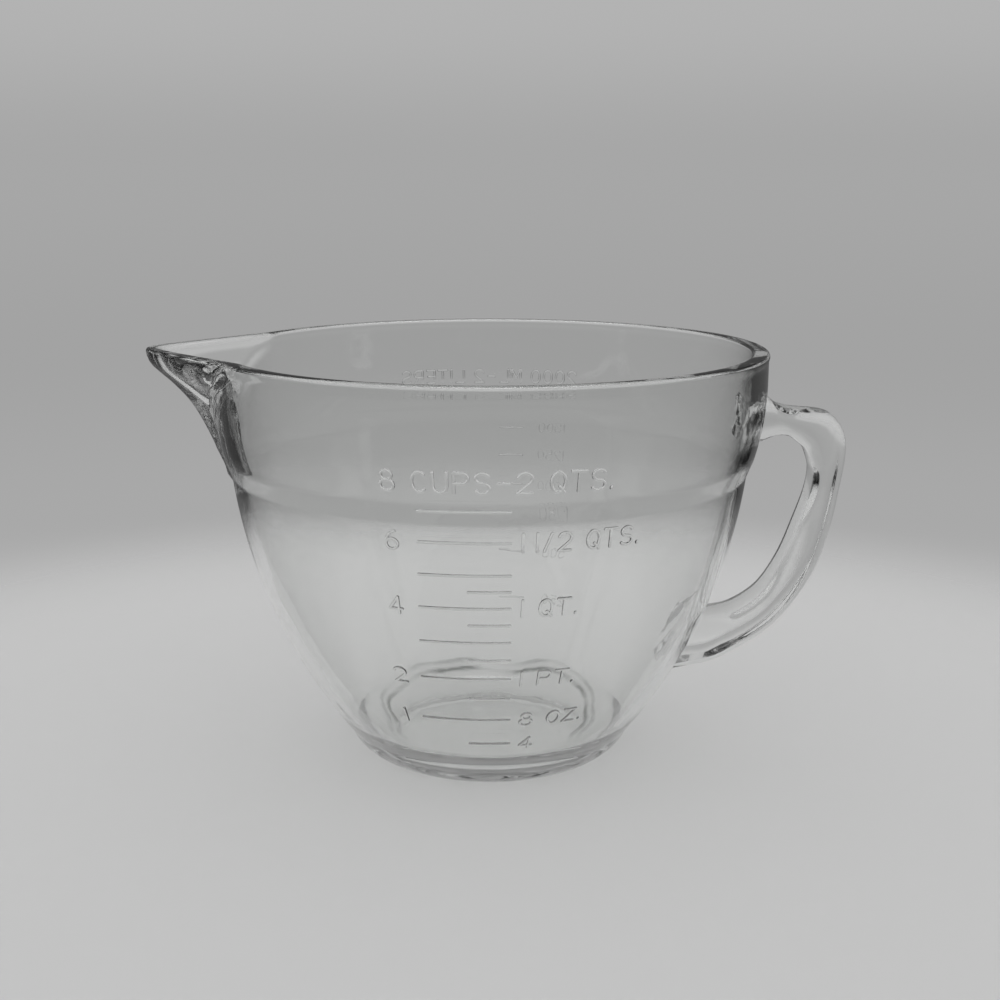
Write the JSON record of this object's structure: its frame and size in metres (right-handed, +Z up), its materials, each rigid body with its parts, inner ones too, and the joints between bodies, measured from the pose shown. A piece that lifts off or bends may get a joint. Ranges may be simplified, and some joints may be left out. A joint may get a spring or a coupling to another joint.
{
  "type": "batter bowl",
  "caption": "Deep clear glass mixing bowl with a pouring spout, a strap handle opposite it and raised volume scales on two sides.",
  "frame": {"origin": "centre of the foot, on the plane that the bowl stands on", "axes": "+Z up along the bowl's axis; +X towards the handle; the spout points to -X; the cup scale faces -Y and the metric scale +Y"},
  "size_m": [0.2447, 0.1928, 0.145],
  "materials": {
    "clear_glass": "clear soda-lime pressed glass, fire-polished smooth"
  },
  "bodies": {
    "root": {"bowl_floor": "clear_glass", "foot_ring": "clear_glass", "bowl_wall": "clear_glass", "shoulder_band": "clear_glass", "collar": "clear_glass", "rim_bead": "clear_glass", "pour_spout": "clear_glass", "handle": "clear_glass", "cup_lines": "clear_glass", "half_cup_lines": "clear_glass", "cup_heading": "clear_glass", "cup_figures": "clear_glass", "measure_words": "clear_glass", "metric_lines": "clear_glass", "metric_heading": "clear_glass", "metric_figures": "clear_glass"}
  },
  "joints": []
}
